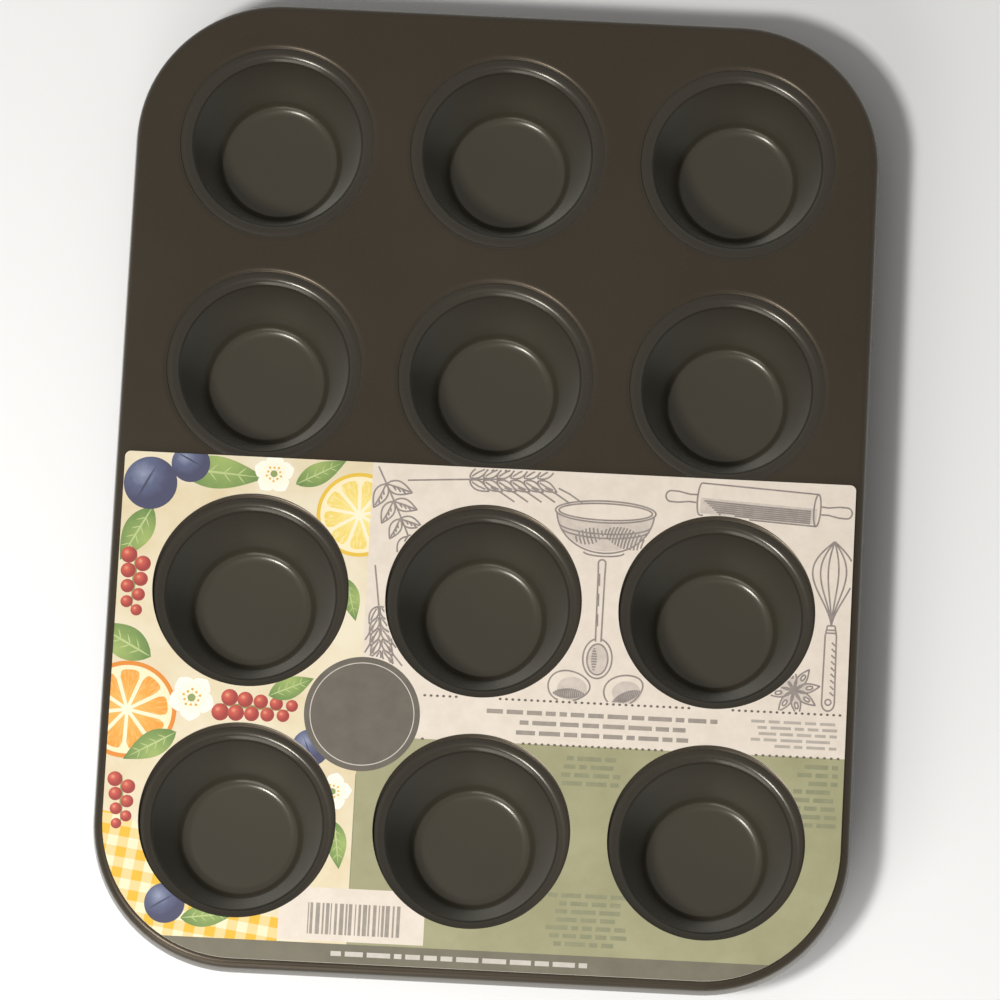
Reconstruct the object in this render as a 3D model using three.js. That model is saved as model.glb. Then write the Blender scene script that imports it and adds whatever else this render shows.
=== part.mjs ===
// A mini muffin tin with the printed card that lies on its deck.
// Millimetres, +Z up. The tin stands on the floors of its cups at z = 0, its origin is below the middle
// of the deck, +X runs across the rows and +Y along the columns, from the carded half to the bare half.
import * as THREE from "three";

// Cups
const cupColumns = 3;
const cupRows = 4;
const tinHeight = 24;
const mouthRadius = 23.1;
const cupFloorRadius = 17;
const cupSheet = 0.5;
const lipRadius = 2.6;
const cupFloorFillet = 4.5;
const flangeFlat = 0.9;
const flangeRecess = 0.7;

// Deck, its shoulder, skirt and curled edge
const deckSheet = 0.6;
const webWidth = 9.9;
const sideMargin = 9.9;
const endMargin = 10.4;
const deckCornerRadius = 36.8;
const shoulderRadius = 2;
const skirtDrop = 8;
const skirtFlare = THREE.MathUtils.degToRad(7);
const curlSweep = THREE.MathUtils.degToRad(280);
const collarDepth = 1.6;

// Stiffening wire in the curl
const wireRadius = 1.2;

// Card and the glue dots under it
const cardThickness = 0.5;
const cardInset = 0.4;
const cardHoleEase = 0.1;
const cardSlip = 0.9;
const cardTopMargin = 10;
const cardTopCornerRadius = 1.6;
const glueDotRadius = 4;
const glueDotThickness = 0.3;

// Clearance between pieces that seat in or lie on each other
const fitGap = 0.3;

// Fineness of the curves
const roundSteps = 20;
const bendSteps = 2;
const collarUnderSteps = 1;
const cornerSteps = 6;
const shoulderSteps = 3;
const curlSteps = 6;
const wireSteps = 6;
const glueDotSteps = 10;
const cardCornerSteps = 8;

const quarterTurn = Math.PI / 2;

// Cup section. The wall leans out by wallLean from upright, and the flange and the wall meet in the lip.
const flangeTop = tinHeight - flangeRecess;
const wallLean = Math.atan2(mouthRadius - cupFloorRadius, flangeTop - cupSheet);
const lipReach = lipRadius * Math.tan((quarterTurn - wallLean) / 2);
const lipCentre = new THREE.Vector2(mouthRadius + lipReach, flangeTop - lipRadius);
const floorReach = cupFloorFillet * Math.tan((quarterTurn - wallLean) / 2);
const filletCentre = new THREE.Vector2(cupFloorRadius - floorReach, cupSheet + cupFloorFillet);
const flangeRadius = lipCentre.x + flangeFlat;

// Places of the cups
const seatRadius = flangeRadius + fitGap;
const cupPitch = 2 * seatRadius + webWidth;
const columnPlaces = spread(cupColumns, cupPitch);
const rowPlaces = spread(cupRows, cupPitch).reverse();

// Outline of the flat deck, where its shoulder starts
const deckHalfWidth = columnPlaces.at(-1) + seatRadius + sideMargin;
const deckHalfLength = rowPlaces[0] + seatRadius + endMargin;

// Rim section, measured outward from the deck's outline and down from its top
const curlRadius = wireRadius + fitGap + deckSheet;
const curlDrop = skirtDrop - curlRadius;
const skirtFall = curlDrop - shoulderRadius;
const skirtNormal = new THREE.Vector2(Math.cos(skirtFlare), Math.sin(skirtFlare));
const curlCentre = new THREE.Vector2(
  (shoulderRadius - curlRadius + skirtFall * skirtNormal.y) / skirtNormal.x, -curlDrop);

// Heights of the card
const glueDotBase = tinHeight + fitGap;
const cardBase = glueDotBase + glueDotThickness;

// Card outline. The card has slipped a little towards the bare half, so its holes lie off the cups' middles.
const cardHalfWidth = deckHalfWidth - cardInset;
const cardBottom = -deckHalfLength + cardInset;
const cardedRows = rowPlaces.filter((place) => place < 0);
const cardHoleRadius = seatRadius + cardHoleEase;
const cardHoleRows = cardedRows.map((place) => place + cardSlip);
const cardTop = cardHoleRows[0] + cardHoleRadius + cardTopMargin;
const cardBottomCornerRadius = deckCornerRadius - cardInset;

// Evenly spaced places either side of zero, lowest first.
function spread(count, pitch) {
  return Array.from({ length: count }, (_, i) => (i - (count - 1) / 2) * pitch);
}

// Points of a circular bend between two angles.
function bend(centre, radius, from, to, steps) {
  return Array.from({ length: steps + 1 }, (_, i) => {
    const angle = from + ((to - from) * i) / steps;
    return new THREE.Vector2(centre.x + radius * Math.cos(angle), centre.y + radius * Math.sin(angle));
  });
}

// Rounded rectangle round the origin, counter-clockwise, grown outward by the given amount.
function deckOutline(growth) {
  const across = deckHalfWidth - deckCornerRadius;
  const along = deckHalfLength - deckCornerRadius;
  const middles = [[across, along], [-across, along], [-across, -along], [across, -along]];
  return middles.flatMap(([x, y], i) =>
    bend(new THREE.Vector2(x, y), deckCornerRadius + growth, i * quarterTurn, (i + 1) * quarterTurn, cornerSteps));
}

// Circle round a cup's middle, clockwise, its corners in line with those of the cup.
function seatCircle(middle, radius) {
  const turn = 2 * Math.PI / roundSteps;
  return Array.from({ length: roundSteps }, (_, i) => {
    const angle = -quarterTurn - i * turn;
    return new THREE.Vector2(middle.x + radius * Math.cos(angle), middle.y + radius * Math.sin(angle));
  });
}

// One closed sheet, made of rings of points that bands and flat plates join.
class Sheet {
  constructor() {
    this.points = [];
    this.faces = [];
  }

  // Adds a level loop of points and gives their numbers.
  ring(loop, height) {
    return loop.map(({ x, y }) => this.points.push(new THREE.Vector3(x, y, height)) - 1);
  }

  // Joins two rings of as many points.
  band(from, to) {
    from.forEach((point, i) => {
      const next = (i + 1) % from.length;
      this.faces.push([point, to[i], from[next]], [from[next], to[i], to[next]]);
    });
  }

  // Joins each ring to the one after it.
  bands(rings) {
    rings.slice(1).forEach((ring, i) => this.band(rings[i], ring));
  }

  // Fills the space between an outer ring and holes, facing up (1) or down (-1).
  plate(outer, holes, facing) {
    const flat = (ring) => ring.map((i) => new THREE.Vector2(this.points[i].x, this.points[i].y));
    const numbers = [outer, ...holes].flat();
    for (const corners of THREE.ShapeUtils.triangulateShape(flat(outer), holes.map(flat))) {
      const [a, b, c] = corners.map((i) => numbers[i]);
      const [p, q, r] = [a, b, c].map((i) => this.points[i]);
      const turn = (q.x - p.x) * (r.y - p.y) - (q.y - p.y) * (r.x - p.x);
      this.faces.push(turn * facing > 0 ? [a, b, c] : [a, c, b]);
    }
  }

  geometry() {
    const made = new THREE.BufferGeometry();
    made.setAttribute("position", new THREE.Float32BufferAttribute(this.points.flatMap((p) => p.toArray()), 3));
    made.setIndex(this.faces.flat());
    made.computeVertexNormals();
    return made;
  }
}

// Section of the rim, from the deck's top over the shoulder, down the skirt, round the curl and back
// up the inside to the deck's underside. x is outward and y is up from the deck's top.
function rimSection() {
  const shoulderCentre = new THREE.Vector2(0, -shoulderRadius);
  const curlEnd = skirtFlare - curlSweep;
  const insideShoulder = shoulderRadius - deckSheet;
  const insideCurl = curlRadius - deckSheet;
  return [
    ...bend(shoulderCentre, shoulderRadius, quarterTurn, skirtFlare, shoulderSteps),
    ...bend(curlCentre, curlRadius, skirtFlare, curlEnd, curlSteps),
    ...bend(curlCentre, insideCurl, curlEnd, skirtFlare, curlSteps),
    ...bend(shoulderCentre, insideShoulder, skirtFlare, quarterTurn, shoulderSteps),
  ];
}

// Section of a seat, from the deck's top down the step, in along the ledge, round the bend under the
// cup's lip, down the collar that follows its wall, and back out below to the deck's underside. x is the
// radius, y the height.
function seatSection() {
  const ledgeTop = flangeTop - cupSheet - fitGap;
  const ledgeUnder = ledgeTop - deckSheet;
  const collarFoot = ledgeUnder - collarDepth;
  const seatBend = lipRadius - cupSheet - fitGap;
  const wallSide = Math.PI - wallLean;
  const upperBend = bend(lipCentre, seatBend, quarterTurn, wallSide, bendSteps);
  const lowerBend = bend(lipCentre, seatBend - deckSheet, wallSide, quarterTurn, collarUnderSteps);
  const footReach = upperBend.at(-1).x - (upperBend.at(-1).y - collarFoot) * Math.tan(wallLean);
  return [
    new THREE.Vector2(seatRadius, tinHeight),
    new THREE.Vector2(seatRadius, ledgeTop),
    ...upperBend,
    new THREE.Vector2(footReach, collarFoot),
    new THREE.Vector2(footReach + deckSheet / Math.cos(wallLean), collarFoot),
    ...lowerBend,
    new THREE.Vector2(seatRadius + deckSheet, ledgeUnder),
    new THREE.Vector2(seatRadius + deckSheet, tinHeight - deckSheet),
  ];
}

function deckGeometry() {
  const sheet = new Sheet();
  const rim = rimSection().map(({ x, y }) => sheet.ring(deckOutline(x), tinHeight + y));
  sheet.bands(rim);
  const seats = rowPlaces.flatMap((y) => columnPlaces.map((x) => {
    const middle = new THREE.Vector2(x, y);
    return seatSection().map((point) => sheet.ring(seatCircle(middle, point.x), point.y));
  }));
  seats.forEach((seat) => sheet.bands(seat));
  sheet.plate(rim[0], seats.map((seat) => seat[0]), 1);
  sheet.plate(rim.at(-1), seats.map((seat) => seat.at(-1)), -1);
  return sheet.geometry();
}

// A drawn cup, revolved: underside from the middle out to the flange's edge, then back along the top.
function cupGeometry() {
  const wallSide = Math.PI - wallLean;
  const wallFoot = -wallLean;
  const profile = [
    new THREE.Vector2(0, 0),
    ...bend(filletCentre, cupFloorFillet + cupSheet, -quarterTurn, wallFoot, bendSteps),
    ...bend(lipCentre, lipRadius - cupSheet, wallSide, quarterTurn, bendSteps),
    new THREE.Vector2(flangeRadius, flangeTop - cupSheet),
    new THREE.Vector2(flangeRadius, flangeTop),
    ...bend(lipCentre, lipRadius, quarterTurn, wallSide, bendSteps),
    ...bend(filletCentre, cupFloorFillet, wallFoot, -quarterTurn, bendSteps),
    new THREE.Vector2(0, cupSheet),
  ];
  return new THREE.LatheGeometry(profile, roundSteps).rotateX(quarterTurn);
}

// The wire's ring keeps to the middle of the curl all the way round.
function wireGeometry() {
  const sheet = new Sheet();
  const section = bend(curlCentre, wireRadius, 0, -2 * Math.PI, wireSteps).slice(0, -1);
  const rings = section.map(({ x, y }) => sheet.ring(deckOutline(x), tinHeight + y));
  sheet.bands([...rings, rings[0]]);
  return sheet.geometry();
}

// Card outline: small upper corners, and lower corners that follow the tin's.
function cardShape() {
  const corners = [
    [cardHalfWidth, cardTop, -1, -1, cardTopCornerRadius, 0],
    [-cardHalfWidth, cardTop, 1, -1, cardTopCornerRadius, 1],
    [-cardHalfWidth, cardBottom, 1, 1, cardBottomCornerRadius, 2],
    [cardHalfWidth, cardBottom, -1, 1, cardBottomCornerRadius, 3],
  ];
  const outline = corners.flatMap(([x, y, inX, inY, radius, quarter]) => {
    const centre = new THREE.Vector2(x + inX * radius, y + inY * radius);
    return bend(centre, radius, quarter * quarterTurn, (quarter + 1) * quarterTurn, cardCornerSteps);
  });
  const shape = new THREE.Shape(outline);
  for (const y of cardHoleRows) {
    for (const x of columnPlaces) {
      shape.holes.push(new THREE.Path(seatCircle(new THREE.Vector2(x, y), cardHoleRadius)));
    }
  }
  return shape;
}

function steel(color) {
  return new THREE.MeshStandardMaterial({ color, roughness: 0.42, metalness: 0.55 });
}

function piece(name, geometry, material, place = new THREE.Vector3()) {
  const made = new THREE.Mesh(geometry, material);
  made.name = name;
  made.position.copy(place);
  return made;
}

const muffinTin = new THREE.Group();

muffinTin.add(piece("deck_sheet", deckGeometry(), steel(0x4a443a)));
muffinTin.add(piece("rim_wire", wireGeometry(),
  new THREE.MeshStandardMaterial({ color: 0x9a9a96, roughness: 0.4, metalness: 1 })));

rowPlaces.forEach((y, row) => {
  columnPlaces.forEach((x, column) => {
    const name = `cup_r${row + 1}c${column + 1}`;
    muffinTin.add(piece(name, cupGeometry(), steel(0x45433b), new THREE.Vector3(x, y, 0)));
  });
});

const cardSolid = new THREE.ExtrudeGeometry(cardShape(), { depth: cardThickness, bevelEnabled: false });
muffinTin.add(piece("card_insert", cardSolid.translate(0, 0, cardBase),
  new THREE.MeshStandardMaterial({ color: 0xe6dcca, roughness: 0.6, metalness: 0 })));

// The glue dots lie between the columns, at the card's foot, between its rows and at its top.
const glueColumns = spread(cupColumns - 1, cupPitch);
const glueRows = [cardedRows[0] + cupPitch / 2, ...cardedRows.map((place) => place - cupPitch / 2)];
const glueDot = new THREE.CylinderGeometry(glueDotRadius, glueDotRadius, glueDotThickness, glueDotSteps)
  .rotateX(quarterTurn)
  .translate(0, 0, glueDotBase + glueDotThickness / 2);
glueRows.flatMap((y) => glueColumns.map((x) => new THREE.Vector3(x, y, 0))).forEach((place, i) => {
  muffinTin.add(piece(`glue_dot_${i + 1}`, glueDot,
    new THREE.MeshStandardMaterial({ color: 0xd9cfa6, roughness: 0.35, metalness: 0 }), place));
});

export default muffinTin;
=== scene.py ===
# A mini muffin tin with a printed card on the lower half of its deck.
# Shapes are written in millimetres in the part's own frame, and every mesh is made in metres.
import random
import bmesh
import bpy
from math import atan2, ceil, cos, dist, pi, radians, sin, sqrt, tan
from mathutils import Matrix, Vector
from mathutils.geometry import delaunay_2d_cdt


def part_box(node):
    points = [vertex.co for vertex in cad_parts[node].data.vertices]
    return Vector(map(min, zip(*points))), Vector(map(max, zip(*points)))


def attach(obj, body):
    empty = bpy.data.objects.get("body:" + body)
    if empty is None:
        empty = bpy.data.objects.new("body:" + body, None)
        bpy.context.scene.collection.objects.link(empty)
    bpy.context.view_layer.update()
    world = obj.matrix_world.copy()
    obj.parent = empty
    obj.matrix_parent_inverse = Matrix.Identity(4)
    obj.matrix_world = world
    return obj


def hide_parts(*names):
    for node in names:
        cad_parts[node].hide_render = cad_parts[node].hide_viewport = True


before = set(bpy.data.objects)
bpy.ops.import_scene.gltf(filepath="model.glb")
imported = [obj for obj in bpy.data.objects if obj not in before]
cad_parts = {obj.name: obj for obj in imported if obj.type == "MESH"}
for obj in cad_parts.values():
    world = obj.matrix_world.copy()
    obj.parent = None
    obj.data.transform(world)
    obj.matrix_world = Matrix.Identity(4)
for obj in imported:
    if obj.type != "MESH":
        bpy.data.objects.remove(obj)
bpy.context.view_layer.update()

MM = 0.001
QUARTER = pi / 2
TURN = 2 * pi


def node_box(name):
    """Lowest and highest corner of a solid, in millimetres."""
    low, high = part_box(name)
    return low / MM, high / MM


def middle_of(name):
    low, high = node_box(name)
    return (low.x + high.x) / 2, (low.y + high.y) / 2


# Names and places from the frame
CUP_NAMES = sorted(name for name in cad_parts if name.startswith("cup_"))
CARDED_CUPS = [name for name in CUP_NAMES if name[:6] in ("cup_r3", "cup_r4")]
TACK_NAMES = sorted(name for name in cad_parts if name.startswith("glue_dot_"))
MIDDLES = {name: middle_of(name) for name in CUP_NAMES + TACK_NAMES}
DECK_HIGH = node_box("deck_sheet")[1]
TIN_HEIGHT = DECK_HIGH.z

# Sheet and cup sizes
CUP_SHEET = 0.5
MOUTH_RADIUS = 23.1
LIP_RADIUS = 2.6
FLANGE_FLAT = 0.9
FLANGE_RECESS = 0.7
DECK_SHEET = 0.6
FIT_GAP = 0.3

# The cup's corner at the floor, a little tighter and further in than on the solids
FLOOR_RADIUS = 16.4
FLOOR_FILLET = 3.7

# Rim sizes
CORNER_RADIUS = 36.8
SHOULDER_RADIUS = 2.0
SKIRT_DROP = 8.0
SKIRT_FLARE = radians(7)
CURL_SWEEP = radians(280)
COLLAR_DEPTH = 1.6
WIRE_RADIUS = 1.2

# What follows from these sizes
FLANGE_TOP = TIN_HEIGHT - FLANGE_RECESS
WALL_LEAN = atan2(MOUTH_RADIUS - FLOOR_RADIUS, FLANGE_TOP - CUP_SHEET)
WALL_SIDE = pi - WALL_LEAN
LEAN_SHARE = tan((QUARTER - WALL_LEAN) / 2)
LIP_CENTRE = (MOUTH_RADIUS + LIP_RADIUS * LEAN_SHARE, FLANGE_TOP - LIP_RADIUS)
FILLET_CENTRE = (FLOOR_RADIUS - FLOOR_FILLET * LEAN_SHARE, CUP_SHEET + FLOOR_FILLET)
FLANGE_RADIUS = LIP_CENTRE[0] + FLANGE_FLAT
SEAT_RADIUS = FLANGE_RADIUS + FIT_GAP
CURL_RADIUS = WIRE_RADIUS + FIT_GAP + DECK_SHEET
CURL_DROP = SKIRT_DROP - CURL_RADIUS
SKIRT_REACH = (CURL_DROP - SHOULDER_RADIUS) * sin(SKIRT_FLARE)
CURL_CENTRE = ((SHOULDER_RADIUS - CURL_RADIUS + SKIRT_REACH) / cos(SKIRT_FLARE), -CURL_DROP)
DECK_HALF_WIDTH = DECK_HIGH.x - CURL_CENTRE[0] - CURL_RADIUS
DECK_HALF_LENGTH = DECK_HIGH.y - CURL_CENTRE[0] - CURL_RADIUS

# Card sizes
CARD_LOW, CARD_HIGH = node_box("card_insert")
INK_HEIGHT = 0.03
CARD_FACE = CARD_HIGH.z - INK_HEIGHT
CARD_INSET = 0.4
CARD_TOP_CORNER = 1.6
CARD_BOTTOM_CORNER = CORNER_RADIUS - CARD_INSET
CARD_HOLE_EASE = 0.1
CARD_HOLE_RADIUS = SEAT_RADIUS + CARD_HOLE_EASE
CARD_SLIP = 0.9
CARD_HOLES = [(MIDDLES[name][0], MIDDLES[name][1] + CARD_SLIP) for name in CARDED_CUPS]

# Soft edges that pressing and coating leave on either side of the seam round a cup
STEP_REACH = 1.4
SEAM_WIDTH = 0.02
FLANGE_EDGE = 0.06
LIP_OVERTURN = radians(4)
CUP_REACH = SEAT_RADIUS - SEAM_WIDTH

# Heights between which the painted light low in a cup fades from full to none, in metres
PAINTED_LIGHT_FULL_BELOW = 0.008
PAINTED_LIGHT_NONE_ABOVE = 0.021

# Fineness of the curves
ROUND_STEPS = 96
CORNER_STEPS = 24
SHOULDER_STEPS = 10
CURL_STEPS = 22
BEND_STEPS = 8
WIRE_STEPS = 16
TACK_STEPS = 32
CARD_HOLE_STEPS = 128

# Width of the flat ring that holds a large flat face's shading level beside a curve
DECK_HOLDING = 0.4
FLOOR_HOLDING = 0.5


# Outlines


def around(centre, reach, angle):
    """A point at a distance from a centre."""
    return centre[0] + reach * cos(angle), centre[1] + reach * sin(angle)


def bend(centre, radius, start, end, steps=BEND_STEPS):
    """Points of a circular bend between two angles."""
    return [around(centre, radius, start + (end - start) * i / steps) for i in range(steps + 1)]


def circle(centre, radius, steps=ROUND_STEPS):
    return bend(centre, radius, 0, TURN, steps)[:-1]


def rounded(low, high, radii):
    """Rectangle with its own radius at each corner, counter-clockwise from the upper right."""
    outline = []
    for i, ((side, end), radius) in enumerate(zip([(1, 1), (-1, 1), (-1, -1), (1, -1)], radii)):
        x = (high if side > 0 else low)[0] - side * radius
        y = (high if end > 0 else low)[1] - end * radius
        outline += bend((x, y), radius, i * QUARTER, (i + 1) * QUARTER, CORNER_STEPS)
    return outline


def deck_outline(growth):
    """The deck's rounded rectangle, grown outward."""
    across, along = DECK_HALF_WIDTH + growth, DECK_HALF_LENGTH + growth
    return rounded((-across, -along), (across, along), [CORNER_RADIUS + growth] * 4)


# Meshes


def linked(name, data):
    """A new object in the scene."""
    made = bpy.data.objects.new(name, data)
    bpy.context.scene.collection.objects.link(made)
    return made


def new_piece(mesh, body, slot, *nodes):
    """Puts a finished mesh in the scene, riding on a body in place of its solids."""
    piece = linked(mesh.name, mesh)
    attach(piece, body)
    if nodes:
        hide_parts(*nodes)


def mesh_of(bm, name, material=None):
    """The mesh of a bmesh that isn't needed any more."""
    mesh = bpy.data.meshes.new(name)
    bm.to_mesh(mesh)
    bm.free()
    if material:
        mesh.materials.append(material)
    return mesh


def finished(bm, name, material=None, smooth=True):
    """A mesh in metres from one in millimetres, closed and facing outward."""
    bmesh.ops.remove_doubles(bm, verts=bm.verts, dist=0.0005)
    bmesh.ops.recalc_face_normals(bm, faces=bm.faces)
    bmesh.ops.scale(bm, vec=(MM, MM, MM), verts=bm.verts)
    for face in bm.faces:
        face.smooth = smooth
    return mesh_of(bm, name, material)


def drop_loose(bm, corners):
    """Deletes the corners that no face uses."""
    loose = [corner for corner in corners if not corner.link_faces]
    bmesh.ops.delete(bm, geom=loose, context="VERTS")


def cut_plane(loops):
    """Triangles between flat closed loops, each with the numbers of the loops that it lies in."""
    points = [Vector(point) for loop in loops for point in loop]
    faces = []
    for loop in loops:
        start = sum(len(face) for face in faces)
        faces.append(list(range(start, start + len(loop))))
    inside_only, fineness = 1, 1e-4
    places, _, triangles, _, _, inside = delaunay_2d_cdt(points, [], faces, inside_only, fineness, True)
    return places, triangles, inside


class Sheet:
    """One closed sheet, made of level rings of points that bands and flat plates join."""

    def __init__(self):
        self.bm = bmesh.new()

    def ring(self, loop, height):
        return [self.bm.verts.new((x, y, height)) for x, y in loop]

    def bands(self, rings):
        for near, far in zip(rings, rings[1:]):
            for i in range(len(near)):
                j = (i + 1) % len(near)
                self.bm.faces.new((near[i], far[i], far[j], near[j]))

    def plate(self, outer, holes):
        """Fills the flat space between an outer ring and the rings of holes."""
        loops = [[vert.co.xy for vert in ring] for ring in (outer, *holes)]
        places, triangles, inside = cut_plane(loops)
        height = outer[0].co.z
        corners = [self.bm.verts.new((place.x, place.y, height)) for place in places]
        for triangle, loops_round in zip(triangles, inside):
            if loops_round == [0]:
                self.bm.faces.new([corners[i] for i in triangle])
        drop_loose(self.bm, corners)


# Nodes for materials and for Geometry Nodes


def node(tree, kind, inputs=None, **settings):
    """Adds a node, with values or other nodes' outputs for its inputs, by name or number."""
    made = tree.nodes.new(kind)
    for key, value in settings.items():
        setattr(made, key, value)
    for key, value in (inputs or {}).items():
        if isinstance(value, bpy.types.NodeSocket):
            tree.links.new(value, made.inputs[key])
        else:
            made.inputs[key].default_value = value
    return made


def shaped(tree, kind, inputs, **settings):
    """The first output of a Geometry Nodes node."""
    return node(tree, "GeometryNode" + kind, inputs, **settings).outputs[0]


def shading(tree, kind, inputs=None, **settings):
    """The outputs of a shader node."""
    return node(tree, "ShaderNode" + kind, inputs, **settings).outputs


def maths(tree, operation, *values):
    """The result of a Math node."""
    return shading(tree, "Math", dict(enumerate(values)), operation=operation)[0]


def spread(tree, value, low, high, start=0.0, end=1.0):
    """Brings a value from the range of start to end to that of low to high."""
    ends = {"From Min": start, "From Max": end, "To Min": low, "To Max": high}
    return shading(tree, "MapRange", {"Value": value, **ends})["Result"]


def geometry_tree(name, *numbers, **others):
    """A Geometry Nodes tree, its named inputs, and curves along the lines it is given."""
    tree = bpy.data.node_groups.new(name, "GeometryNodeTree")
    kinds = {"Geometry": "Geometry", **dict.fromkeys(numbers, "Float"), **others, "Material": "Material"}
    for label, kind in kinds.items():
        tree.interface.new_socket(label, in_out="INPUT", socket_type="NodeSocket" + kind)
    tree.interface.new_socket("Geometry", in_out="OUTPUT", socket_type="NodeSocketGeometry")
    given = tree.nodes.new("NodeGroupInput").outputs
    return tree, given, shaped(tree, "MeshToCurve", {"Mesh": given["Geometry"]})


def end_tree(tree, given, geometry):
    """Real faces with the material, which is how every tree here ends."""
    real = shaped(tree, "RealizeInstances", {"Geometry": geometry})
    painted = shaped(tree, "SetMaterial", {"Geometry": real, "Material": given["Material"]})
    tree.links.new(painted, tree.nodes.new("NodeGroupOutput").inputs[0])
    return tree


def grown(tree, name, lines, closed=False, smooth=True, **values):
    """Runs a tree on polylines in millimetres, and gives the plain mesh in metres."""
    bm = bmesh.new()
    for points in lines:
        verts = [bm.verts.new(point) for point in points]
        for pair in zip(verts, verts[1:] + (verts[:1] if closed else [])):
            bm.edges.new(pair)
    mesh = mesh_of(bm, name + "_lines")
    stand_in = linked(mesh.name, mesh)
    modifier = stand_in.modifiers.new(tree.name, "NODES")
    modifier.node_group = tree
    for item in tree.interface.items_tree:
        if item.in_out == "INPUT" and item.name in values:
            modifier[item.identifier] = values[item.name]
    graph = bpy.context.evaluated_depsgraph_get()
    made = bpy.data.meshes.new_from_object(stand_in.evaluated_get(graph))
    bpy.data.objects.remove(stand_in)
    bpy.data.meshes.remove(mesh)
    bm = bmesh.new()
    bm.from_mesh(made)
    bpy.data.meshes.remove(made)
    return finished(bm, name, values["Material"], smooth)


def turned_tree():
    """Turns a section round an upright axis: its x counts from the ring's reach, and its y is the height."""
    tree, given, section = geometry_tree("turned", "Reach", Steps="Int", Place="Vector")
    path = shaped(tree, "CurvePrimitiveCircle", {"Resolution": given["Steps"], "Radius": given["Reach"]})
    level = shaped(tree, "SetCurveNormal", {"Curve": path}, mode="Z_UP")
    upright = shaped(tree, "Transform", {"Geometry": section, "Scale": (1, -1, 1)})
    swept = shaped(tree, "CurveToMesh", {"Curve": level, "Profile Curve": upright})
    closed = shaped(tree, "MergeByDistance", {"Geometry": swept, "Distance": 0.001})
    return end_tree(tree, given, shaped(tree, "SetPosition", {"Geometry": closed, "Offset": given["Place"]}))


def wire_tree():
    """Round wire along a closed path."""
    tree, given, path = geometry_tree("wire_on_path", "Radius", Sides="Int")
    section = shaped(tree, "CurvePrimitiveCircle", {"Resolution": given["Sides"], "Radius": given["Radius"]})
    return end_tree(tree, given, shaped(tree, "CurveToMesh", {"Curve": path, "Profile Curve": section}))


def pen_tree():
    """Flat ink strokes along level paths, thinner towards their ends."""
    tree, given, path = geometry_tree("pen_strokes", "Width", "Height", "Taper")
    level = shaped(tree, "SetCurveNormal", {"Curve": path}, mode="Z_UP")
    along = node(tree, "GeometryNodeSplineParameter").outputs["Factor"]
    arch = maths(tree, "SINE", maths(tree, "MULTIPLY", along, pi))
    press = spread(tree, maths(tree, "POWER", arch, 0.4), given["Taper"], 1.0)
    pressed = shaped(tree, "SetCurveRadius", {"Curve": level, "Radius": press})
    nib = shaped(tree, "CurvePrimitiveQuadrilateral", {"Width": given["Width"], "Height": given["Height"]})
    stroke = shaped(tree, "CurveToMesh", {"Curve": pressed, "Profile Curve": nib, "Fill Caps": True})
    return end_tree(tree, given, stroke)


def dots_tree():
    """Flat oval dots at an even pitch along paths."""
    tree, given, path = geometry_tree("dotted_rule", "Pitch", "Radius", "Height", "Stretch")
    spots = shaped(tree, "CurveToPoints", {"Curve": path, "Length": given["Pitch"]}, mode="LENGTH")
    dot = shaped(tree, "MeshCylinder", {"Vertices": 10, "Radius": given["Radius"], "Depth": given["Height"]})
    shape = shading(tree, "CombineXYZ", {0: given["Stretch"], 1: 1.0, 2: 1.0})[0]
    dots = shaped(tree, "InstanceOnPoints", {"Points": spots, "Instance": dot, "Scale": shape})
    return end_tree(tree, given, dots)


TURNED = turned_tree()


# Materials


def tint(colour):
    """A colour of 0 to 255, as it is seen, in a shader's form."""
    parts = [value / 255 for value in colour]
    return (*[part / 12.92 if part <= 0.04045 else ((part + 0.055) / 1.055) ** 2.4 for part in parts], 1)


def ramp(tree, factor, stops):
    """Colours along a factor, as pairs of a place and a colour."""
    made = node(tree, "ShaderNodeValToRGB", {"Fac": factor})
    elements = made.color_ramp.elements
    for element, (place, colour) in zip(elements, (stops[0], stops[-1])):
        element.position, element.color = place, tint(colour)
    for place, colour in stops[1:-1]:
        elements.new(place).color = tint(colour)
    return made.outputs["Color"]


def noise(tree, vector, scale, detail=3.0, roughness=0.5):
    """Cloudy noise, whose scale is in cells per metre on Object coordinates."""
    inputs = {"Vector": vector, "Scale": scale, "Detail": detail, "Roughness": roughness}
    return shading(tree, "TexNoise", inputs)["Fac"]


def mixed(tree, amount, first, second):
    """A colour between two, by an amount of the second."""
    return shading(tree, "Mix", {0: amount, 6: first, 7: second}, data_type="RGBA")[2]


def relief(tree, height, strength, distance, **normal):
    """The normal of a surface with a fine relief, over another normal where one is given."""
    inputs = {"Height": height, "Strength": strength, "Distance": distance, **normal}
    return shading(tree, "Bump", inputs)[0]


def surface(name):
    """A new material: its tree, its texture coordinates and its shader."""
    material = bpy.data.materials.new(name)
    material.use_nodes = True
    tree = material.node_tree
    tree.nodes.clear()
    shader = node(tree, "ShaderNodeBsdfPrincipled")
    tree.links.new(shader.outputs[0], tree.nodes.new("ShaderNodeOutputMaterial").inputs[0])
    return material, tree, shading(tree, "TexCoord"), shader


def give(tree, shader, **inputs):
    """Sets or links the shader's inputs."""
    for label, value in inputs.items():
        socket = shader.inputs[label.replace("_", " ")]
        if isinstance(value, bpy.types.NodeSocket):
            tree.links.new(value, socket)
        else:
            socket.default_value = value


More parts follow.
